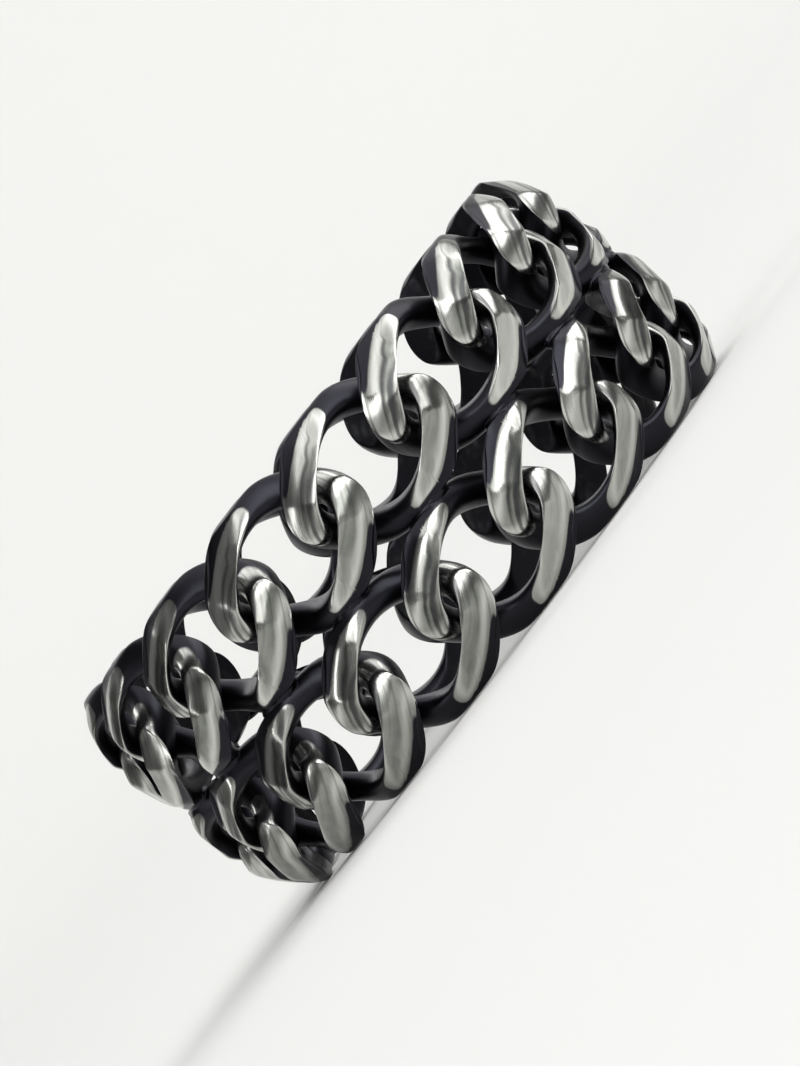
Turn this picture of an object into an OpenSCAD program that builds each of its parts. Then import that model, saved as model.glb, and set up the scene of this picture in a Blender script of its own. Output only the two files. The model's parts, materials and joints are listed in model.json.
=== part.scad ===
// Chain link ring: two rows of twisted, flat-cut oval links, soldered side by side in pairs.
// The ring lies on its side: the finger hollow is upright along Z and the lower edge is at Z = 0.

/* [Ring] */
// Diameter of the finger hollow
finger_d = 19; // [17:0.1:21]
// Thickness of the band, from the finger to the outer faces
band_t = 1.8; // [1.6:0.05:2.1]
// Number of link pairs round the finger
link_count = 17; // [16:1:18]

/* [Link] */
// Width of one link across the band
link_w = 4.72; // [4.56:0.02:5.2]
// Width of the wire beside the hole, at the middle of a link
side_wire = 0.9; // [0.8:0.02:1.1]
// Width of the wire where it bows from the side to the end
bow_wire = 1.3; // [1.1:0.02:1.4]
// Width of the wire at a link's end
end_wire = 1.12; // [1:0.02:1.2]
// Thickness of the wire from its bow to its end, before its outer and inner faces are cut flat
wire_t = 1.18; // [1.04:0.02:1.2]
// Thickness of the wire beside the hole, at the middle of a link, before the cuts
side_t = 1.4; // [1.2:0.05:2]
// Fullness of the link's outline: 2 is an oval, and more is squarer
link_fullness = 2.4; // [2.3:0.05:2.7]
// Turn of the link about the chain's direction, from its middle to where the next link crosses it
crossing_turn = 38; // [37:0.5:41]
// Gap between the ends of two links that pass through each other
end_gap = 0.16; // [0.14:0.01:0.22]
// Depth to which the solder joins the two links of a pair
solder_depth = 0.12; // [0.08:0.01:0.2]

/* [Shoulders] */
// Width of the level middle of the band, between the rounded shoulders
level_w = 4; // [3:0.1:5]
// Drop of the outer faces from the level middle to the band's edge
shoulder_drop = 1; // [0.6:0.05:1.1]

/* [Hidden] */
// Stations round a link
STATIONS = 16;
// Corners of the wire's section, as shares of half its width and of half its thickness
SECTION = [[1, 0], [0.5, 1], [-0.5, 1], [-1, 0], [-0.5, -1], [0.5, -1]];
// Angle from the end of a link to the middle of its bow, in the link's own oval
BOW_TURN = 45;
// Direction of the first pair from the ring's centre
FIRST_TURN = -83.6;

mid_r = (finger_d + band_t) / 2;
pitch = 2 * PI * mid_r / link_count;
half_length = (pitch + end_wire + end_gap) / 2;
half_width = (link_w - side_wire) / 2;
row_offset = (link_w - solder_depth) / 2;
band_w = 2 * row_offset + link_w;
corners = len(SECTION);

// Rises smoothly from 0 to 1
function ease(x) = x * x * (3 - 2 * x);

// A size of the wire at angle t of the oval: at its end, at its bow and beside the hole
function along_wire(t, at_end, at_bow, at_side) =
    let (q = asin(abs(sin(t))))
    q < BOW_TURN
        ? at_end + (at_bow - at_end) * ease(q / BOW_TURN)
        : at_bow + (at_side - at_bow) * ease((q - BOW_TURN) / (90 - BOW_TURN));

// A power that keeps the sign of what it raises
function signed_power(x, power) = sign(x) * pow(abs(x), power);

// One corner of the wire in the flat oval: along the chain, across it and above it
function oval_corner(t, corner) =
    let (
        share = 2 / link_fullness,
        middle = [half_length * signed_power(cos(t), share), half_width * signed_power(sin(t), share)],
        slope = [half_width * signed_power(cos(t), 2 - share), half_length * signed_power(sin(t), 2 - share)],
        place = middle + slope / norm(slope) * corner[0] * along_wire(t, end_wire, bow_wire, side_wire) / 2
    )
    [place[0], place[1], corner[1] * along_wire(t, wire_t, wire_t, side_t) / 2];

// Turns a point about the chain's direction, further the further it is from the link's middle
function twisted(p) =
    let (turn = -crossing_turn * p[0] / (pitch / 2))
    [p[0], p[1] * cos(turn) - p[2] * sin(turn), p[1] * sin(turn) + p[2] * cos(turn)];

// Share of the band's thickness that the rounded shoulders leave at a distance y from its middle
function shoulder(y) =
    let (past = max(0, abs(y) - level_w / 2) / (band_w - level_w) * 2)
    1 - shoulder_drop * past * past / band_t;

// Cuts a point back to the outer and inner faces and wraps it round the finger
function wrapped(p, row) =
    let (
        y = p[1] + row,
        height = max(0, min(band_t, p[2] + band_t / 2)) * shoulder(y),
        turn = p[0] / mid_r * 180 / PI
    )
    [(finger_d / 2 + height) * cos(turn), (finger_d / 2 + height) * sin(turn), y + band_w / 2];

module link(row) {
    points = [
        for (i = [0:STATIONS - 1], corner = SECTION)
            wrapped(twisted(oval_corner(i * 360 / STATIONS, corner)), row)
    ];
    faces = [
        for (i = [0:STATIONS - 1], j = [0:corners - 1])
            let (
                next = (i + 1) % STATIONS,
                above = (j + 1) % corners,
                a = i * corners + j,
                b = next * corners + j,
                c = next * corners + above,
                d = i * corners + above
            )
            each [[a, c, b], [a, d, c]]
    ];
    polyhedron(points, faces);
}

module link_pair(k) {
    color("#6f7068")
    rotate([0, 0, FIRST_TURN + (k - 1) * 360 / link_count])
    union() {
        link(-row_offset);
        link(row_offset);
    }
}

for (k = [1:link_count])
    link_pair(k);
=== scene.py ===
"""Chain link ring in oxidised silver: two rows of flat-cut links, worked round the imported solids."""

import json
import math

import bpy
import numpy as np
from bpy.props import FloatProperty, FloatVectorProperty, PointerProperty
from mathutils import Matrix, Vector


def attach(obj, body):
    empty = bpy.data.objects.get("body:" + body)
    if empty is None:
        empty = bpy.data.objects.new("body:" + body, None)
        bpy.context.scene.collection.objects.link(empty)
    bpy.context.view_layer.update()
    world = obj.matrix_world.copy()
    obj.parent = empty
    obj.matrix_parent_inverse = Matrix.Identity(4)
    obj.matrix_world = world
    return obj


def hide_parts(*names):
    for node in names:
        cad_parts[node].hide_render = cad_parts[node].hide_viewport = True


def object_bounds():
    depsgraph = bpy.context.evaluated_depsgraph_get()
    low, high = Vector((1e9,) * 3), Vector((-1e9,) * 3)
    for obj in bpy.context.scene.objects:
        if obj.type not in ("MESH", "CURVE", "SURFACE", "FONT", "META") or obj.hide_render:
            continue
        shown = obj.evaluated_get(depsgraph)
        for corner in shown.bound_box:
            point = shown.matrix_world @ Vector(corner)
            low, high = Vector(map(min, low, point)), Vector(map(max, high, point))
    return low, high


bl_info = {
    "name": "Chain Link Ring",
    "version": (1, 0, 0),
    "blender": (4, 5, 0),
    "location": "3D View > Sidebar > Ring",
    "description": "Dresses a ring of two rows of flat-cut links in oxidised silver",
    "category": "Add Mesh",
}

MM = 0.001
BODY = "root"

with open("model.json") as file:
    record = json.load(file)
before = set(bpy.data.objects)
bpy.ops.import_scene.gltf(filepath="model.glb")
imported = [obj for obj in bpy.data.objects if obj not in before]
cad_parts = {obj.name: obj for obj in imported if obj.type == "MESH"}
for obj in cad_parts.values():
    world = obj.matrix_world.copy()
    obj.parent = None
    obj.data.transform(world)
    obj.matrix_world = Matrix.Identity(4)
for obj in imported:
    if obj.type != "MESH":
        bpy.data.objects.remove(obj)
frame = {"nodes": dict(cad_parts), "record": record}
CAD_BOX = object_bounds()
NODES = sorted(frame["nodes"])


def node_points(node):
    """The corners of a node's solid as rows of x, y and z."""
    vertices = frame["nodes"][node].data.vertices
    points = np.zeros(len(vertices) * 3, np.float32)
    vertices.foreach_get("co", points)
    return points.reshape(-1, 3).astype(float)


# Sizes that come from the solids: the finger hollow, the outer faces and the band's width
FINGER_R = frame["record"]["mounts"][0]["dims"]["r_mm"] * MM
OUTER_R = max(np.hypot(*node_points(node)[:, :2].T).max() for node in NODES)
BAND_T = OUTER_R - FINGER_R
BAND_W = CAD_BOX[1].z - CAD_BOX[0].z
MID_R = (FINGER_R + OUTER_R) / 2
PITCH = 2 * math.pi * MID_R / len(NODES)

# Corners of a link's surface: stations along its wire and corners round it
STATIONS = 184
CORNERS = 44
# Steps in which the wire is measured before its corners are spread
FINE_STATIONS = 1440
FINE_CORNERS = 360
# Angle of the oval from a link's end to the middle of its bow
BOW_TURN = math.radians(45)
# Slope of the line that parts a link's lower facet from its upper one
FACET_PARTING = 0.6
# Slow ripples that handwork leaves in a link, and the most waves that one has along and round the wire
RIPPLES = 9
WAVES_ALONG = 9
WAVES_ROUND = 3
# Start of the random draws for the handwork, and of those for how far the strokes are rubbed
HAND_SEED = 71
RUB_SEED = 2324
# Power of a draw for the rubbing, which leaves most strokes little rubbed and a few much
RUB_POWER = 3
# Share of the polish that the finger leaves on the inner faces
INSIDE_POLISH = 0.3
# Cosine of a face's turn from outwards where the wheel starts to reach it, and the range to where it does
WHEEL_FACING = -0.15
WHEEL_FACING_RANGE = 0.7
# The same range, from 0, for the rims, whose bright line is partly a painted highlight, and for the inner
# faces that the finger rubs
SHEEN_RIM_FACING_RANGE = 0.6
INSIDE_FACING_RANGE = 0.8
# Distance from the band's middle, in half widths of the solder, over which the wheel can't reach
SOLDER_SHADE = 0.2
# Weight of a section's bends in the spread of its corners, in reaches of the edges' rounding
BEND_WEIGHT = 5
# Lumps of a solder bead along the chain and in height: their heights as shares of its size, and their waves
# in radians to a half size
BEAD_LUMPS = (0.06, 0.05)
BEAD_LUMP_WAVES = (3, 4)
# How far the patches of wear move the line at which the black is buffed through
PATCH_PUSH = 0.35
# Range of roughness between the middle of a scratch and the face beside it
SCRATCH_DULLING = 0.16
# Rows of corners and corners in a row of a solder bead
BEAD_ROWS = 14
BEAD_CORNERS = 28


class RingLinkSizes(bpy.types.PropertyGroup):
    """Real sizes of one link, before it is wrapped round the finger."""

    link_w: FloatProperty(
        name="Link width", description="Width of one link across the band",
        default=4.72 * MM, unit="LENGTH", precision=5)
    side_wire: FloatProperty(
        name="Side wire", description="Width of the wire beside the hole, at the middle of a link",
        default=0.9 * MM, unit="LENGTH", precision=5)
    bow_wire: FloatProperty(
        name="Bow wire", description="Width of the wire where it bows from the side to the end",
        default=1.3 * MM, unit="LENGTH", precision=5)
    end_wire: FloatProperty(
        name="End wire", description="Width of the wire at a link's end",
        default=1.12 * MM, unit="LENGTH", precision=5)
    wire_t: FloatProperty(
        name="Wire thickness", description="Thickness of the wire from its bow to its end, before the cuts",
        default=1.2 * MM, unit="LENGTH", precision=5)
    side_t: FloatProperty(
        name="Side thickness", description="Thickness of the wire beside the hole, before the cuts",
        default=1.4 * MM, unit="LENGTH", precision=5)
    end_gap: FloatProperty(
        name="End gap", description="Gap between the ends of two links that pass through each other",
        default=0.16 * MM, unit="LENGTH", precision=5)
    fullness: FloatProperty(
        name="Outline fullness", description="2 is an oval link, and more is squarer", default=2.4)
    roundness: FloatProperty(
        name="Wire fullness", description="2 is an oval wire, and more is squarer", default=2.15)
    side_roundness: FloatProperty(
        name="Side wire fullness", description="The same for the wire beside the hole", default=2.8)
    crossing_turn: FloatProperty(
        name="Crossing turn",
        description="Turn of the link from its middle to where the next link crosses it",
        default=math.radians(38), unit="ROTATION")
    level_w: FloatProperty(
        name="Level width", description="Width of the level middle of the band",
        default=4 * MM, unit="LENGTH", precision=5)
    shoulder_drop: FloatProperty(
        name="Shoulder drop", description="Drop of the outer faces from the middle to the band's edge",
        default=1 * MM, unit="LENGTH", precision=5)


class RingHandwork(bpy.types.PropertyGroup):
    """How far the links differ from each other, and how their cuts and edges were finished."""

    edge_round: FloatProperty(
        name="Edge rounding", description="Reach of the rounding between a cut face and the wire",
        default=0.1 * MM, unit="LENGTH", precision=6)
    facet_middle: FloatVectorProperty(
        name="Facet middle", description="Middle of a link's lower facet, along the chain and across it",
        default=(1.4 * MM, -0.85 * MM), size=2, unit="LENGTH", precision=5)
    facet_slant: FloatProperty(
        name="Facet slant", description="Direction of a facet from its tail to its head",
        default=math.radians(38), unit="ROTATION")
    head_reach: FloatProperty(
        name="Head reach", description="From a facet's middle to where its head starts to round over",
        default=0.7 * MM, unit="LENGTH", precision=5)
    tail_reach: FloatProperty(
        name="Tail reach", description="From a facet's middle to where its tail starts to round over",
        default=1.05 * MM, unit="LENGTH", precision=5)
    head_slope: FloatProperty(
        name="Head slope", description="Slope of the small facet that is cut across a head", default=0.45)
    tail_slope: FloatProperty(
        name="Tail slope", description="Slope of the small facet that is cut across a tail", default=0.34)
    end_round: FloatProperty(
        name="End rounding", description="Reach of the rounding between a facet and those at its ends",
        default=0.14 * MM, unit="LENGTH", precision=6)
    outer_round: FloatProperty(
        name="Outer rounding",
        description="Reach, in height, of the rounding between a facet and the band's outer surface",
        default=0.05 * MM, unit="LENGTH", precision=6)
    crown_radius: FloatProperty(
        name="Crown radius", description="Radius of a facet across its stroke",
        default=5.0 * MM, unit="LENGTH", precision=5)
    pass_edge: FloatVectorProperty(
        name="Pass edge",
        description="Least and greatest distance from a stroke's middle to a second pass beside it",
        default=(0.04 * MM, 0.3 * MM), size=2, unit="LENGTH", precision=6)
    pass_lean: FloatVectorProperty(
        name="Pass lean", description="Least and greatest slope of a second pass beside a stroke's middle",
        default=(0.08, 0.24), size=2)
    pass_round: FloatProperty(
        name="Pass rounding", description="Reach of the rounding between a stroke's middle and a second pass",
        default=0.05 * MM, unit="LENGTH", precision=6)
    cut_depth: FloatProperty(
        name="Cut depth", description="The most by which one facet is cut deeper than another",
        default=0.05 * MM, unit="LENGTH", precision=6)
    cut_lean: FloatProperty(
        name="Cut lean", description="The most by which a facet leans, as a slope", default=0.05)
    ripple: FloatProperty(
        name="Ripple", description="Height of the slow ripples along the wire",
        default=0.016 * MM, unit="LENGTH", precision=6)
    file_ripple: FloatProperty(
        name="Facet ripple", description="Height of the slow ripples in a filed facet",
        default=0.005 * MM, unit="LENGTH", precision=6)
    shift: FloatProperty(
        name="Shift", description="The most by which a link lies off its place",
        default=0.015 * MM, unit="LENGTH", precision=6)
    bead_half: FloatVectorProperty(
        name="Solder bead", description="Half sizes of a bead along the chain, across it and in height",
        default=(0.85 * MM, 0.34 * MM, 0.5 * MM), unit="LENGTH", precision=5)
    polish_depth: FloatProperty(
        name="Polish depth", description="Depth below the outer faces that the buffing wheel reaches",
        default=0.15 * MM, unit="LENGTH", precision=5)
    bevel_edge: FloatVectorProperty(
        name="Bevel edge", description="Where the outer bevel starts at a stroke's tail and at its head, "
        "as a share of half the wire's width from its middle",
        default=(0.6, 1.2), size=2)
    bevel_slope: FloatProperty(
        name="Bevel slope", description="Slope of the bevel that stays black beside a stroke", default=0.5)
    head_depth: FloatVectorProperty(
        name="Head depth", description="How much deeper the wheel, which ran one way, reaches at the head "
        "of the lower stroke and of the upper one",
        default=(0.9 * MM, 0.1 * MM), size=2, unit="LENGTH", precision=5)
    head_start: FloatProperty(
        name="Head start", description="Angle of the oval from which the wheel reaches deeper",
        default=math.radians(163), unit="ROTATION")
    head_shine: FloatProperty(
        name="Head shine", description="Share of the film that the wheel rubs off the head of a stroke",
        default=0.95, subtype="FACTOR")
    stroke_rub: FloatProperty(
        name="Stroke rub", description="The most of the film that the wheel rubs off the middle of a stroke",
        default=0.6, subtype="FACTOR")
    stroke_start: FloatProperty(
        name="Stroke start",
        description="Angle of the oval at which the buffed stroke has faded in at its tail",
        default=math.radians(89), unit="ROTATION")
    tail_taper: FloatProperty(
        name="Tail taper", description="How much later the edges of a stroke start than its middle",
        default=math.radians(24), unit="ROTATION")
    stroke_stop: FloatProperty(
        name="Stroke stop",
        description="Angle of the oval at which the buffed stroke has faded out past its head",
        default=math.radians(208), unit="ROTATION")
    stroke_fade: FloatProperty(
        name="Stroke fade", description="Angle of the oval over which a stroke fades in or out",
        default=math.radians(12), unit="ROTATION")
    # The rim line is bare silver along a facet's edge, partly buffing wear and partly a painted highlight for
    # the light that the rounded edge catches
    sheen_rim_width: FloatProperty(
        name="Rim width", description="Width of the bright line that buffing leaves along a facet's edge",
        default=0.08 * MM, unit="LENGTH", precision=6)
    sheen_rim_inset: FloatProperty(
        name="Rim inset", description="Depth of the cut under the middle of that bright line",
        default=0.06 * MM, unit="LENGTH", precision=6)


def linear(code):
    """Turns an sRGB hex value such as 8a8a80 to linear red, green and blue."""
    shares = [int(code[i:i + 2], 16) / 255 for i in (0, 2, 4)]
    return tuple(x / 12.92 if x <= 0.04045 else ((x + 0.055) / 1.055) ** 2.4 for x in shares)


class RingFinish(bpy.types.PropertyGroup):
    """Colours and gloss of the oxidised silver."""

    # This silver is also the colour of the painted highlight line along the facets' edges
    silver: FloatVectorProperty(
        name="Buffed silver", description="Silver where the wheel has cut through the black",
        default=linear("d0d0cb"), size=3, subtype="COLOR", min=0, max=1)
    tarnish: FloatVectorProperty(
        name="Tarnish", description="Olive grey film that stays in patches on the buffed faces",
        default=linear("5e615b"), size=3, subtype="COLOR", min=0, max=1)
    oxide: FloatVectorProperty(
        name="Oxide", description="Black silver sulphide in the recesses",
        default=linear("2b2b30"), size=3, subtype="COLOR", min=0, max=1)
    silver_gloss: FloatProperty(
        name="Buffed roughness", description="Roughness of the buffed faces", default=0.2, subtype="FACTOR")
    oxide_gloss: FloatProperty(
        name="Oxide roughness", description="Roughness of the oxide", default=0.32, subtype="FACTOR")
    patch_size: FloatProperty(
        name="Patch size", description="Size of the patches of tarnish and wear",
        default=0.7 * MM, unit="LENGTH", precision=5)
    scratch_length: FloatProperty(
        name="Scratch length", description="Length of the scratches along the wire",
        default=1.4 * MM, unit="LENGTH", precision=5)
    scratch_width: FloatProperty(
        name="Scratch width", description="Width of the scratches",
        default=0.03 * MM, unit="LENGTH", precision=6)
    scratch_depth: FloatProperty(
        name="Scratch depth", description="Depth of the scratches",
        default=0.0015 * MM, unit="LENGTH", precision=6)
    streak_length: FloatProperty(
        name="Streak length", description="Length of the soft streaks that the wheel leaves in the film",
        default=4.5 * MM, unit="LENGTH", precision=5)
    streak_width: FloatProperty(
        name="Streak width", description="Width of the soft streaks that the wheel leaves in the film",
        default=0.22 * MM, unit="LENGTH", precision=5)


class RingStage(bpy.types.PropertyGroup):
    """The camera, the floor and the lights."""

    camera_distance: FloatProperty(
        name="Camera distance", description="From the camera to the ring's middle",
        default=0.29, unit="LENGTH")
    camera_elevation: FloatProperty(
        name="Camera elevation", description="Height of the camera as an angle above the ring",
        default=math.radians(1), unit="ROTATION")
    camera_roll: FloatProperty(
        name="Camera roll", description="Turn of the picture, which sets the finger hollow's slant in it",
        default=math.radians(52.7), unit="ROTATION")
    frame_height: FloatProperty(
        name="Frame height", description="Height of the picture at the ring's middle",
        default=0.033, unit="LENGTH")
    floor: FloatVectorProperty(
        name="Floor", description="Pale matt floor and backdrop",
        default=linear("d9d9d7"), size=3, subtype="COLOR", min=0, max=1)
    room_level: FloatProperty(
        name="Room level", description="Brightness of the dim room that the silver mirrors", default=0.14)
    key_power: FloatProperty(
        name="Key light", description="Power of the soft light low at the right", default=1.6, unit="POWER")
    side_power: FloatProperty(
        name="Side light", description="Power of the narrow light at the left", default=0.4, unit="POWER")
    strip_power: FloatProperty(
        name="Strip light", description="Power of the long light that the heads of the strokes mirror",
        default=7.2, unit="POWER")
    front_power: FloatProperty(
        name="Front light", description="Power of the wide dim light behind the camera",
        default=1.1, unit="POWER")
    top_power: FloatProperty(
        name="Top light", description="Power of the large soft box high at the right",
        default=13.5, unit="POWER")
    paper_power: FloatProperty(
        name="Paper light", description="Power of the soft light over the backdrop", default=4, unit="POWER")


def ease(x):
    """3x^2 - 2x^3 between 0 and 1, and level outside."""
    x = np.clip(x, 0.0, 1.0)
    return x * x * (3.0 - 2.0 * x)


def signed_power(x, power):
    """The size of x raised to a power, with the sign of x."""
    return np.sign(x) * np.abs(x) ** power


def along_wire(t, at_end, at_bow, at_side):
    """A size of the wire at angle t, eased from a link's end to its bow and on to beside the hole."""
    turn = np.arcsin(np.abs(np.sin(t)))
    near = at_end + (at_bow - at_end) * ease(turn / BOW_TURN)
    return near + (at_side - at_bow) * ease((turn - BOW_TURN) / (math.pi / 2 - BOW_TURN))


def past(x, reach):
    """x where it is above 0, and else 0, rounded over a reach: (x + reach)^2 / (4 reach) where they meet."""
    near = np.clip(x + reach, 0.0, 2 * reach)
    return np.where(x > reach, x, near * near / (4 * reach))


def lower_of(x, limit, reach):
    """The lower of x and limit, rounded over a reach."""
    return x - past(x - limit, reach)


def shoulder(y, links):
    """Share of the band's thickness left at a distance y from its middle: 1 - drop * outer^2 / thickness."""
    outer = np.maximum(0.0, np.abs(y) - links.level_w / 2) / (BAND_W - links.level_w) * 2
    return 1.0 - links.shoulder_drop * outer * outer / BAND_T


def hand_of(number, work):
    """What handwork leaves on one link, the same each time for the same number.

    The two values of a pair belong to the stroke below the link's middle and to the stroke above it.
    """
    draw = np.random.default_rng([HAND_SEED, number])
    return {
        "shift": draw.uniform(-1, 1, 2) * work.shift,
        "depth": draw.uniform(0, 1, 2) * work.cut_depth,
        "along": draw.uniform(-1, 1, 2) * work.cut_lean,
        "across": draw.uniform(-1, 1, 2) * work.cut_lean,
        "waves_along": draw.integers(1, WAVES_ALONG + 1, RIPPLES),
        "waves_round": draw.integers(-WAVES_ROUND, WAVES_ROUND + 1, RIPPLES),
        "start": draw.uniform(0, 2 * math.pi, RIPPLES),
        "pass_edge": draw.uniform(*work.pass_edge, (2, 2)),
        "pass_lean": draw.uniform(*work.pass_lean, (2, 2)),
        "rub": np.random.default_rng([RUB_SEED, number]).uniform(0, 1, 2) ** RUB_POWER * work.stroke_rub,
    }


def ripples(t, a, hand):
    """The sum of k waves cos(m t + n a + start) over the root of k, with m and n whole, so that it closes."""
    numbers = zip(hand["waves_along"], hand["waves_round"], hand["start"])
    waves = [np.cos(m * t + n * a + start) for m, n, start in numbers]
    return sum(waves) / math.sqrt(len(waves))


def lower_facet(s, y, work, hand, i):
    """Height of the facet below a link's middle.

    way runs from the facet's middle towards its head and side across it. The height is a plane, which round
    the finger is bulge * s^2, less side^2 / (2 crown radius), and less a slope times the distance past where
    the head, the tail and the second pass on either side start.
    """
    lean = hand["along"][i], hand["across"][i]
    middle_s, middle_y = work.facet_middle
    cos, sin = math.cos(work.facet_slant), math.sin(work.facet_slant)
    way = (s - middle_s) * cos + (y - middle_y) * sin
    side = (y - middle_y) * cos - (s - middle_s) * sin
    bulge = OUTER_R / (2 * MID_R ** 2)
    plane = bulge * ((s - middle_s) ** 2 - (work.tail_reach * cos) ** 2)
    worn = side * side / (2 * work.crown_radius)
    worn += work.head_slope * past(way - work.head_reach, work.end_round)
    worn += work.tail_slope * past(-way - work.tail_reach, work.end_round)
    for sign, edge, slope in zip((1, -1), hand["pass_edge"][i], hand["pass_lean"][i]):
        worn += slope * past(sign * side - edge, work.pass_round)
    flat = BAND_T - hand["depth"][i] + plane + lean[0] * way + lean[1] * side
    return lower_of(flat, BAND_T, work.outer_round) - worn


def facet_height(s, y, links, work, hand):
    """Height of the cut faces. The facet above a link's middle is the lower one turned half round."""
    lower, upper = (lower_facet(sign * s, sign * y, work, hand, i) for i, sign in enumerate((1, -1)))
    share = ease((y - FACET_PARTING * s) / links.side_wire + 0.5)
    return lower + (upper - lower) * share


def stroke_turn(t):
    """The angle of the oval within a stroke, from its tail at 90 degrees over its bow to its head at 180.

    A link's other stroke is half a turn further, so the angle is taken within half a turn, from the bow on.
    """
    return np.mod(t - BOW_TURN, math.pi) + BOW_TURN


def oval_of(links):
    """Half the length and half the width of the wire's middle line, and the power 2 / n that shapes it."""
    half_length = (PITCH + links.end_wire + links.end_gap) / 2
    half_width = (links.link_w - links.side_wire) / 2
    return half_length, half_width, 2 / links.fullness


def link_surface(t, a, row, azimuth, links, work, hand):
    """Points of a link's surface, how far each lies inside its facet's edge, and its height before the cuts.

    The wire's middle line is |s / length|^n + |y / width|^n = 1. Its section is |w|^m + |h|^m = 1 in shares
    of half its width and half its thickness, with w along the oval's normal and h above it. All of it is
    turned about the chain by an angle that grows with s, cut at the facets and at the finger, worn level at
    the band's edges, lowered at its shoulders, and wrapped round the finger: radius = finger + height, angle
    = s / middle radius. Beside a stroke, a bevel falls from the facet by a slope times the distance past its
    edge, which moves outwards from the stroke's tail to its head as p^2.
    """
    half_length, half_width, share = oval_of(links)
    section = 2 / along_wire(t, links.roundness, links.roundness, links.side_roundness)
    wave = ripples(t, a, hand)
    half_wire = along_wire(t, links.end_wire, links.bow_wire, links.side_wire) / 2
    out = signed_power(np.cos(a), section) * half_wire
    rise = signed_power(np.sin(a), section) * along_wire(t, links.wire_t, links.wire_t, links.side_t) / 2
    swell = 1 + work.ripple * wave / links.bow_wire
    slope_s = half_width * signed_power(np.cos(t), 2 - share)
    slope_y = half_length * signed_power(np.sin(t), 2 - share)
    steep = np.hypot(slope_s, slope_y)
    s = half_length * signed_power(np.cos(t), share) + slope_s / steep * out * swell
    flat_y = half_width * signed_power(np.sin(t), share) + slope_y / steep * out * swell
    flat_z = rise * swell
    turn = -links.crossing_turn * s / (PITCH / 2)
    y = flat_y * np.cos(turn) - flat_z * np.sin(turn)
    height = flat_y * np.sin(turn) + flat_z * np.cos(turn) + BAND_T / 2
    turned = stroke_turn(t)
    way = np.clip((turned - work.stroke_start) / (work.head_start - work.stroke_start), 0, None)
    edge = work.bevel_edge[0] + (work.bevel_edge[1] - work.bevel_edge[0]) * way * way
    beside = out - edge * half_wire
    bevel = past(beside, work.edge_round) * ease((turned - work.stroke_start) / work.stroke_fade + 1)
    facet = facet_height(s, y, links, work, hand) - work.file_ripple * (1 + wave)
    cut = lower_of(height, facet - work.bevel_slope * bevel, work.edge_round)
    cut = -lower_of(-cut, 0.0, work.edge_round)
    place_y = lower_of(y + row + hand["shift"][1], BAND_W / 2, work.edge_round)
    place_y = -lower_of(-place_y, BAND_W / 2, work.edge_round)
    radius = FINGER_R + cut * shoulder(place_y, links)
    angle = azimuth + (s + hand["shift"][0]) / MID_R
    points = np.stack([radius * np.cos(angle), radius * np.sin(angle), place_y + BAND_W / 2], axis=-1)
    return points, np.minimum(height - facet, -beside), height


def even_stations(links):
    """Angles t that lie evenly along the wire's middle line, found by measuring it in small steps."""
    half_length, half_width, share = oval_of(links)
    t = np.linspace(0, 2 * math.pi, FINE_STATIONS + 1)
    s = half_length * signed_power(np.cos(t), share)
    y = half_width * signed_power(np.sin(t), share)
    way = np.concatenate([[0], np.cumsum(np.hypot(np.diff(s), np.diff(y)))])
    return np.interp(np.arange(STATIONS) / STATIONS * way[-1], way, t)


def spread_corners(points, angles, bend_share):
    """Angles round each section at which its corners go.

    The way round a section is its length plus bend_share times the angle that it turns through, and the
    corners lie evenly along that way, so that they crowd where a facet's edge bends.
    """
    step = np.diff(points, axis=1)
    length = np.linalg.norm(step, axis=2)
    heading = step / np.maximum(length, 1e-9)[..., None]
    bend = np.arccos(np.clip((heading * np.roll(heading, -1, axis=1)).sum(axis=2), -1, 1))
    bend = (bend + np.roll(bend, 1, axis=1)) / 2
    way = np.cumsum(length + bend_share * bend, axis=1)
    way = np.concatenate([np.zeros((len(way), 1)), way], axis=1) / way[:, -1:]
    station = np.arange(len(way))[:, None] * 2.0
    wanted = station + np.arange(CORNERS) / CORNERS
    found = np.interp(wanted.ravel(), (station + way).ravel(), np.tile(angles, len(way)))
    return found.reshape(wanted.shape)


def grid_faces(rows, columns):
    """Corner numbers of the quads of a grid that closes both ways."""
    i, j = np.meshgrid(np.arange(rows), np.arange(columns), indexing="ij")
    i_next, j_next = (i + 1) % rows, (j + 1) % columns
    corners = [i * columns + j, i_next * columns + j, i_next * columns + j_next, i * columns + j_next]
    return np.stack(corners, axis=-1).reshape(-1, 4)


def mesh_from(name, points, faces, polish, bare_and_sheen, uv):
    """A mesh with polish and bare silver at each corner, the latter partly a painted highlight along facet
    edges, and each face corner's place along and round the wire.
    """
    mesh = bpy.data.meshes.new(name)
    mesh.from_pydata(points.reshape(-1, 3), [], faces)
    for attribute_name, values in (("polish", polish), ("bare_and_sheen", bare_and_sheen)):
        attribute = mesh.attributes.new(attribute_name, "FLOAT", "POINT")
        attribute.data.foreach_set("value", values.ravel().astype(np.float32))
    layer = mesh.uv_layers.new(name="wire")
    layer.data.foreach_set("uv", uv.astype(np.float32).ravel())
    mesh.polygons.foreach_set("use_smooth", np.ones(len(mesh.polygons), bool))
    mesh.update()
    return mesh


def stroke_shares(t, a, work):
    """How far a corner lies on one of a link's two strokes, and how far at its head, each from 0 to 1.

    A stroke starts later the further a corner is from the top of the wire, by taper * cos(a)^2, so that its
    tail is round.
    """
    turn = stroke_turn(t)
    start = work.stroke_start + work.tail_taper * np.cos(a) ** 2
    stroke = ease((turn - start) / work.stroke_fade + 1) * ease((work.stroke_stop - turn) / work.stroke_fade)
    return stroke, ease((turn - work.head_start) / work.stroke_fade)


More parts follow.
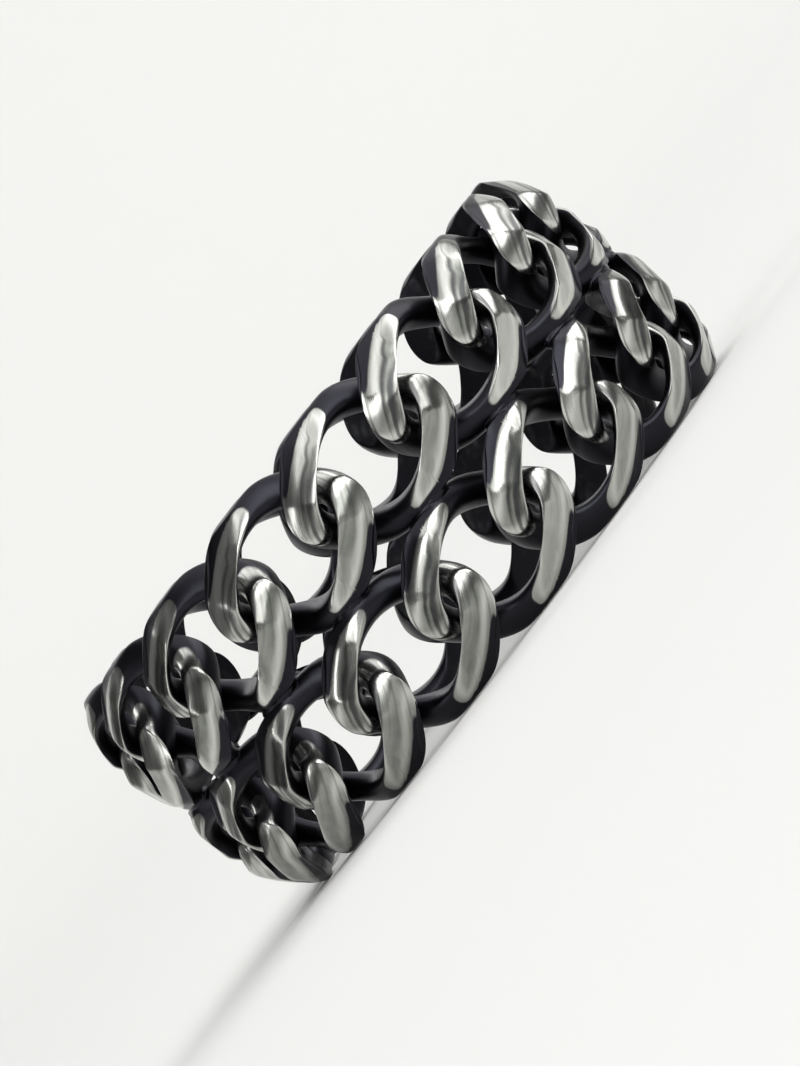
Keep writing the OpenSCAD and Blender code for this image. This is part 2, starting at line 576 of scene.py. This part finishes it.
def link_mesh(name, row, azimuth, links, work, hand):
    """One link as a closed grid, with what the buffing wheel did to it, and a painted highlight along its
    facets' edges.
    """
    t = even_stations(links)[:, None]
    fine = np.linspace(0, 2 * math.pi, FINE_CORNERS + 1)
    measured = link_surface(t, fine[None, :], row, azimuth, links, work, hand)[0]
    a = spread_corners(measured, fine, BEND_WEIGHT * work.edge_round)
    points, inside_edge, height = link_surface(t, a, row, azimuth, links, work, hand)

    along = np.roll(points, -1, axis=0) - np.roll(points, 1, axis=0)
    round_it = np.roll(points, -1, axis=1) - np.roll(points, 1, axis=1)
    normal = np.cross(along, round_it)
    normal /= np.maximum(np.linalg.norm(normal, axis=2), 1e-12)[..., None]
    outward = points * [1, 1, 0]
    outward /= np.linalg.norm(outward, axis=2)[..., None]
    facing = (normal * outward).sum(axis=2)

    clear_of_solder = ease(np.abs(points[..., 2] - BAND_W / 2) / work.bead_half[1] - SOLDER_SHADE)
    stroke, head = stroke_shares(t, a, work)
    lower = np.mod(t - BOW_TURN, 2 * math.pi) > math.pi
    reach = work.polish_depth + head * np.where(lower, *work.head_depth)
    faced = ease((facing - WHEEL_FACING) / WHEEL_FACING_RANGE)
    reached = ease(inside_edge / reach + 1) * faced * stroke * clear_of_solder
    inside = ease(1 - height / (work.polish_depth / 2)) * ease(-facing / INSIDE_FACING_RANGE)
    polish = np.maximum(reached, INSIDE_POLISH * inside)
    rubbed = np.where(lower, *hand["rub"])
    # Bare silver: random rubbing, the heads, and a line along each facet's edge; the line is partly buffing
    # wear and partly a painted highlight for the light that the rounded edge catches
    line = np.exp(-((inside_edge - work.sheen_rim_inset) / work.sheen_rim_width) ** 2)
    bared_and_sheen = np.maximum(np.maximum(line, rubbed), work.head_shine * head)
    bare_and_sheen = bared_and_sheen * ease(facing / SHEEN_RIM_FACING_RANGE) * stroke

    faces = grid_faces(STATIONS, CORNERS).tolist()
    middles = points.mean(axis=1)
    length = np.linalg.norm(np.diff(middles, axis=0, append=middles[:1]), axis=1).sum()
    girth = np.linalg.norm(np.diff(points, axis=1, append=points[:, :1]), axis=2).sum(axis=1).mean()
    i, j = np.divmod(np.arange(STATIONS * CORNERS), CORNERS)
    u = np.stack([i, i + 1, i + 1, i], axis=-1) / STATIONS * length
    v = np.stack([j, j, j + 1, j + 1], axis=-1) / CORNERS * girth
    return mesh_from(name, points, faces, polish, bare_and_sheen, np.stack([u, v], axis=-1) / MM)


def bead_mesh(name, azimuth, work, hand):
    """The solder between two links of a pair: an ovoid wrapped round the finger, with a few soft lumps.

    A point is (cos u cos v, cos u sin v, sin u) times the half sizes and times 1 plus a sine along the chain
    plus a cosine of the height. Rows of corners lie between two poles, which close it.
    """
    latitude = (np.arange(BEAD_ROWS) + 1) / (BEAD_ROWS + 1) * math.pi - math.pi / 2
    longitude = np.arange(BEAD_CORNERS) / BEAD_CORNERS * 2 * math.pi
    flat = np.stack([
        np.cos(latitude)[:, None] * np.cos(longitude),
        np.cos(latitude)[:, None] * np.sin(longitude),
        np.sin(latitude)[:, None] * np.ones(BEAD_CORNERS),
    ], axis=-1).reshape(-1, 3)
    flat = np.concatenate([flat, [[0, 0, -1], [0, 0, 1]]])
    along = BEAD_LUMPS[0] * np.sin(BEAD_LUMP_WAVES[0] * flat[:, 0] + hand["start"][0])
    upright = BEAD_LUMPS[1] * np.cos(BEAD_LUMP_WAVES[1] * flat[:, 2] + hand["start"][1])
    lumps = 1 + along + upright
    s, y, height = (flat * lumps[:, None] * np.array(work.bead_half)).T
    radius = FINGER_R + BAND_T / 2 + height
    angle = azimuth + s / MID_R
    points = np.stack([radius * np.cos(angle), radius * np.sin(angle), y + BAND_W / 2], axis=-1)

    rows, columns = BEAD_ROWS, BEAD_CORNERS
    i, j = np.meshgrid(np.arange(rows - 1), np.arange(columns), indexing="ij")
    j_next = (j + 1) % columns
    row, next_row = i * columns, (i + 1) * columns
    quads = np.stack([row + j, row + j_next, next_row + j_next, next_row + j], -1)
    ring = np.arange(columns)
    south, north, top = rows * columns, rows * columns + 1, (rows - 1) * columns
    after = (ring + 1) % columns
    caps = [[south, last, first] for first, last in zip(ring, after)]
    caps += [[north, top + first, top + last] for first, last in zip(ring, after)]
    faces = quads.reshape(-1, 4).tolist() + caps
    count = sum(len(face) for face in faces)
    zeros = np.zeros(len(points))
    return mesh_from(name, points, faces, zeros, zeros, np.zeros((count, 2)))


def fused(name, meshes):
    """One object at the origin whose mesh is the union of closed meshes that overlap."""
    objects = [bpy.data.objects.new(name if i == 0 else f"{name}_{i}", mesh) for i, mesh in enumerate(meshes)]
    for item in objects:
        bpy.context.scene.collection.objects.link(item)
    body, helpers = objects[0], objects[1:]
    for helper in helpers:
        union = body.modifiers.new("Solder", "BOOLEAN")
        union.operation = "UNION"
        union.solver = "MANIFOLD"
        union.object = helper
    depsgraph = bpy.context.evaluated_depsgraph_get()
    joined = bpy.data.meshes.new_from_object(
        body.evaluated_get(depsgraph), preserve_all_data_layers=True, depsgraph=depsgraph)
    body.modifiers.clear()
    body.data = joined
    joined.name = name
    for item in helpers:
        bpy.data.objects.remove(item)
    for mesh in meshes:
        bpy.data.meshes.remove(mesh)
    return body


def add_node(tree, kind, inputs=None, **settings):
    """Adds a node. A setting is one of its attributes, and an input a value or the socket that feeds it."""
    node = tree.nodes.new(kind)
    for name, value in settings.items():
        setattr(node, name, value)
    for name, value in (inputs or {}).items():
        if isinstance(value, bpy.types.NodeSocket):
            tree.links.new(value, node.inputs[name])
        else:
            node.inputs[name].default_value = value
    return node


def oxidised_silver(finish):
    """Sterling silver, cut flat, blackened with liver of sulphur and buffed back.

    To the eye: near-black, faintly violet recesses, satin grey faces with fine scratches and soft streaks of
    olive film along the wire, and bare, brighter silver on the heads, which the wheel reached first, and
    along the edges, where the bright line is partly buffing wear and partly a painted highlight.
    """
    material = bpy.data.materials.new("oxidised_sterling_silver")
    material.use_nodes = True
    tree = material.node_tree
    tree.nodes.clear()

    place = add_node(tree, "ShaderNodeTexCoord").outputs["Object"]
    wire = add_node(tree, "ShaderNodeUVMap", uv_map="wire").outputs["UV"]
    polish = add_node(tree, "ShaderNodeAttribute", attribute_name="polish").outputs["Fac"]
    bare_and_sheen = add_node(tree, "ShaderNodeAttribute", attribute_name="bare_and_sheen").outputs["Fac"]

    # Wear is patchy: a cloud moves the line at which the black is buffed through
    patches = add_node(tree, "ShaderNodeTexNoise", {
        "Vector": place, "Scale": 1 / finish.patch_size, "Detail": 3.0, "Roughness": 0.5}).outputs["Fac"]
    moved = add_node(tree, "ShaderNodeMath", {
        0: patches, 1: PATCH_PUSH, 2: polish}, operation="MULTIPLY_ADD").outputs[0]
    worn = add_node(tree, "ShaderNodeMapRange", {
        "Value": moved, "From Min": 0.45, "From Max": 0.75},
        interpolation_type="SMOOTHSTEP").outputs["Result"]

    # Scratches and soft streaks follow the wire: noise drawn out along it, in the wire's own millimetres
    scratches, streaks = (
        add_node(tree, "ShaderNodeTexNoise", {
            "Vector": add_node(tree, "ShaderNodeMapping", {
                "Vector": wire, "Scale": (MM / length, MM / width, 1.0)}).outputs["Vector"],
            "Scale": 1.0, "Detail": detail, "Roughness": 0.5}).outputs["Fac"]
        for length, width, detail in (
            (finish.scratch_length, finish.scratch_width, 2.0),
            (finish.streak_length, finish.streak_width, 1.0),
        )
    )

    # The wheel skips along the wire, so that dark streaks stay where it did not bite
    skipped = add_node(tree, "ShaderNodeMapRange", {
        "Value": streaks, "From Min": 0.5, "From Max": 0.66, "To Min": 1.0, "To Max": 0.25},
        interpolation_type="SMOOTHSTEP").outputs["Result"]
    bare = add_node(tree, "ShaderNodeMath", {0: worn, 1: skipped}, operation="MULTIPLY").outputs[0]

    # Film of tarnish on the faces: streaked along the wire, a little cloudy, and rubbed away to bare silver
    # at the edges, where the bright line is partly wear and partly a painted highlight
    cloud = add_node(tree, "ShaderNodeMapRange", {
        "Value": patches, "From Min": 0.35, "From Max": 0.65, "To Min": 0.8, "To Max": 1.0}).outputs["Result"]
    streaked = add_node(tree, "ShaderNodeMapRange", {
        "Value": streaks, "From Min": 0.35, "From Max": 0.6, "To Min": 0.62, "To Max": 1.0}).outputs["Result"]
    film = add_node(tree, "ShaderNodeMath", {0: cloud, 1: streaked}, operation="MULTIPLY").outputs[0]
    clean = add_node(tree, "ShaderNodeMix", {
        0: film, 6: (*finish.silver, 1.0), 7: (*finish.tarnish, 1.0)}, data_type="RGBA").outputs[2]
    # Mixes in bare silver where the stroke is rubbed, on the heads, and in a line along each facet's edge;
    # that line is partly buffing wear and partly a painted highlight
    bright = add_node(tree, "ShaderNodeMix", {
        0: bare_and_sheen, 6: clean, 7: (*finish.silver, 1.0)}, data_type="RGBA").outputs[2]
    colour = add_node(tree, "ShaderNodeMix", {
        0: bare, 6: (*finish.oxide, 1.0), 7: bright}, data_type="RGBA").outputs[2]

    # Roughness: satin where buffed, duller in the black, and each scratch a little duller than the face
    gloss = add_node(tree, "ShaderNodeMapRange", {
        "Value": bare, "To Min": finish.oxide_gloss, "To Max": finish.silver_gloss}).outputs["Result"]
    rough = add_node(tree, "ShaderNodeMath", {
        0: scratches, 1: SCRATCH_DULLING, 2: gloss}, operation="MULTIPLY_ADD").outputs[0]
    rough = add_node(tree, "ShaderNodeMath", {
        0: rough, 1: SCRATCH_DULLING / 2}, operation="SUBTRACT").outputs[0]

    relief = add_node(tree, "ShaderNodeBump", {
        "Height": scratches, "Strength": 1.0, "Distance": finish.scratch_depth}).outputs["Normal"]

    shader = add_node(tree, "ShaderNodeBsdfPrincipled", {
        "Base Color": colour, "Metallic": 1.0, "Roughness": rough, "Normal": relief}).outputs["BSDF"]
    add_node(tree, "ShaderNodeOutputMaterial", {"Surface": shader})
    return material


def pale_paper(colour):
    """Matt backdrop paper: a pale sheet with no gloss and a faint cloudiness, so that it lights evenly."""
    material = bpy.data.materials.new("matt_backdrop_paper")
    material.use_nodes = True
    tree = material.node_tree
    tree.nodes.clear()
    place = add_node(tree, "ShaderNodeTexCoord").outputs["Object"]
    cloud = add_node(tree, "ShaderNodeTexNoise", {
        "Vector": place, "Scale": 6.0, "Detail": 2.0}).outputs["Fac"]
    dim = tuple(0.97 * x for x in colour)
    shade = add_node(tree, "ShaderNodeMix", {
        0: cloud, 6: (*colour, 1.0), 7: (*dim, 1.0)}, data_type="RGBA").outputs[2]
    shader = add_node(tree, "ShaderNodeBsdfPrincipled", {
        "Base Color": shade, "Roughness": 0.95}).outputs["BSDF"]
    add_node(tree, "ShaderNodeOutputMaterial", {"Surface": shader})
    return material


class RING_OT_link_pairs(bpy.types.Operator):
    """Make the soldered link pairs, each one body that stands for its solid"""

    bl_idname = "ring.link_pairs"
    bl_label = "Link Pairs"

    def execute(self, context):
        links = context.scene.ring_links
        work = context.scene.ring_handwork
        silver = oxidised_silver(context.scene.ring_finish)
        row_offset = (BAND_W - links.link_w) / 2
        for index, node in enumerate(NODES):
            middle = node_points(node).mean(axis=0)
            azimuth = math.atan2(middle[1], middle[0])
            hands = [hand_of(2 * index + side, work) for side in (0, 1)]
            meshes = [
                link_mesh(f"{node}_link_{side}", row, azimuth, links, work, hands[side])
                for side, row in enumerate((-row_offset, row_offset))
            ]
            meshes.append(bead_mesh(f"{node}_solder", azimuth, work, hands[0]))
            piece = fused(f"silver_{node}", meshes)
            piece.data.materials.clear()
            piece.data.materials.append(silver)
            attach(piece, BODY)
            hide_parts(node)
        return {"FINISHED"}


def sweep_points(depth, bend, height, width, steps):
    """A floor that turns up into a backdrop: level, then a quarter circle, then a wall, carried along X."""
    turn = np.linspace(0, math.pi / 2, steps)
    y = np.concatenate([[-depth], bend * np.sin(turn) + depth / 2, [depth / 2 + bend]])
    z = np.concatenate([[0], bend * (1 - np.cos(turn)), [height]])
    x = np.array([-width, width])
    return np.stack([np.tile(x, len(y)), np.repeat(y, 2), np.repeat(z, 2)], axis=-1)


def soft_light(name, place, aim, size, power):
    """A rectangular soft light at a place, turned towards what it aims at."""
    data = bpy.data.lights.new(name, "AREA")
    data.shape = "RECTANGLE"
    data.size, data.size_y = size
    data.energy = power
    lamp = bpy.data.objects.new(name, data)
    bpy.context.scene.collection.objects.link(lamp)
    lamp.location = place
    lamp.rotation_euler = (Vector(aim) - Vector(place)).to_track_quat("-Z", "Y").to_euler()
    return lamp


class RING_OT_stage(bpy.types.Operator):
    """Set the camera, the pale floor and the soft lights"""

    bl_idname = "ring.stage"
    bl_label = "Stage"

    def execute(self, context):
        stage = context.scene.ring_stage
        middle = Vector((0, 0, BAND_W / 2))
        self.camera(context, stage, middle)
        self.floor(context, stage)
        self.lights(context, stage, middle)
        return {"FINISHED"}

    def camera(self, context, stage, middle):
        """Looks along +Y from just above the ring, turned so that the finger hollow slants up to the left."""
        data = bpy.data.cameras.new("camera")
        camera = bpy.data.objects.new("camera", data)
        context.scene.collection.objects.link(camera)
        rise = stage.camera_elevation
        back = Vector((0, -math.cos(rise), math.sin(rise)))
        level = (-back).to_track_quat("-Z", "Y").to_matrix().to_4x4()
        turn = level @ Matrix.Rotation(-stage.camera_roll, 4, "Z")
        camera.matrix_world = Matrix.Translation(middle + back * stage.camera_distance) @ turn
        data.sensor_width = 36
        data.lens = data.sensor_width * stage.camera_distance / stage.frame_height
        data.clip_start, data.clip_end = 0.01, 20
        context.scene.camera = camera

    def floor(self, context, stage):
        """One sheet of matt paper, level under the ring and turned up far behind it."""
        points = sweep_points(depth=1.2, bend=0.4, height=1.6, width=0.7, steps=24)
        rows = np.arange(len(points) // 2 - 1)[:, None] * 2
        faces = rows + np.array([0, 1, 3, 2])
        mesh = bpy.data.meshes.new("floor")
        mesh.from_pydata(points, [], faces.tolist())
        mesh.polygons.foreach_set("use_smooth", np.ones(len(mesh.polygons), bool))
        mesh.update()
        mesh.materials.append(pale_paper(tuple(stage.floor)))
        floor = bpy.data.objects.new("floor", mesh)
        context.scene.collection.objects.link(floor)

    def lights(self, context, stage, middle):
        """A light low at the right, a narrow one at the left, a long strip above the camera, a large soft box
        high at the right, a wide dim one behind the camera, and one over the paper.

        Each row is a name, an azimuth and an elevation in degrees, a distance, a size and a power. Azimuth 0
        is the camera's side, and 90 is the right.
        """
        for name, azimuth, elevation, distance, size, power in (
            ("key_light", 112, 28, 0.8, (0.5, 0.4), stage.key_power),
            ("side_light", -78, 18, 0.7, (0.08, 0.4), stage.side_power),
            ("strip_light", 28, 36, 0.8, (1.8, 0.4), stage.strip_power),
            ("top_light", 80, 68, 1.4, (1.8, 1.8), stage.top_power),
            ("front_light", 0, 6, 1.1, (2.2, 0.36), stage.front_power),
        ):
            turn, rise = math.radians(azimuth), math.radians(elevation)
            way = Vector((math.sin(turn) * math.cos(rise), -math.cos(turn) * math.cos(rise), math.sin(rise)))
            soft_light(name, middle + way * distance, middle, size, power)
        soft_light("paper_light", (0, 0.8, 0.8), (0, 0.8, 0), (1.4, 0.4), stage.paper_power)
        world = bpy.data.worlds.new("room")
        world.use_nodes = True
        room = world.node_tree.nodes["Background"]
        room.inputs["Color"].default_value = (1.0, 1.0, 1.0, 1.0)
        room.inputs["Strength"].default_value = stage.room_level
        context.scene.world = world
        context.scene.view_settings.view_transform = "Standard"


class RING_PT_panel(bpy.types.Panel):
    """Sizes, finish and stage of the ring"""

    bl_idname = "RING_PT_panel"
    bl_label = "Chain Link Ring"
    bl_space_type = "VIEW_3D"
    bl_region_type = "UI"
    bl_category = "Ring"

    def draw(self, context):
        layout = self.layout
        for title, group in GROUPS.items():
            box = layout.box()
            box.label(text=title.replace("_", " ").capitalize())
            values = getattr(context.scene, title)
            for name in group.__annotations__:
                box.prop(values, name)
        for operator in OPERATORS:
            layout.operator(operator.bl_idname)


GROUPS = {
    "ring_links": RingLinkSizes,
    "ring_handwork": RingHandwork,
    "ring_finish": RingFinish,
    "ring_stage": RingStage,
}
OPERATORS = (RING_OT_link_pairs, RING_OT_stage)
CLASSES = (*GROUPS.values(), *OPERATORS, RING_PT_panel)


def register():
    for item in CLASSES:
        bpy.utils.register_class(item)
    for name, group in GROUPS.items():
        setattr(bpy.types.Scene, name, PointerProperty(type=group))


def unregister():
    for name in GROUPS:
        delattr(bpy.types.Scene, name)
    for item in reversed(CLASSES):
        bpy.utils.unregister_class(item)


def main():
    """Registers the add-on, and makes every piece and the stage."""
    register()
    bpy.ops.ring.link_pairs()
    bpy.ops.ring.stage()


if __name__ == "__main__":
    main()
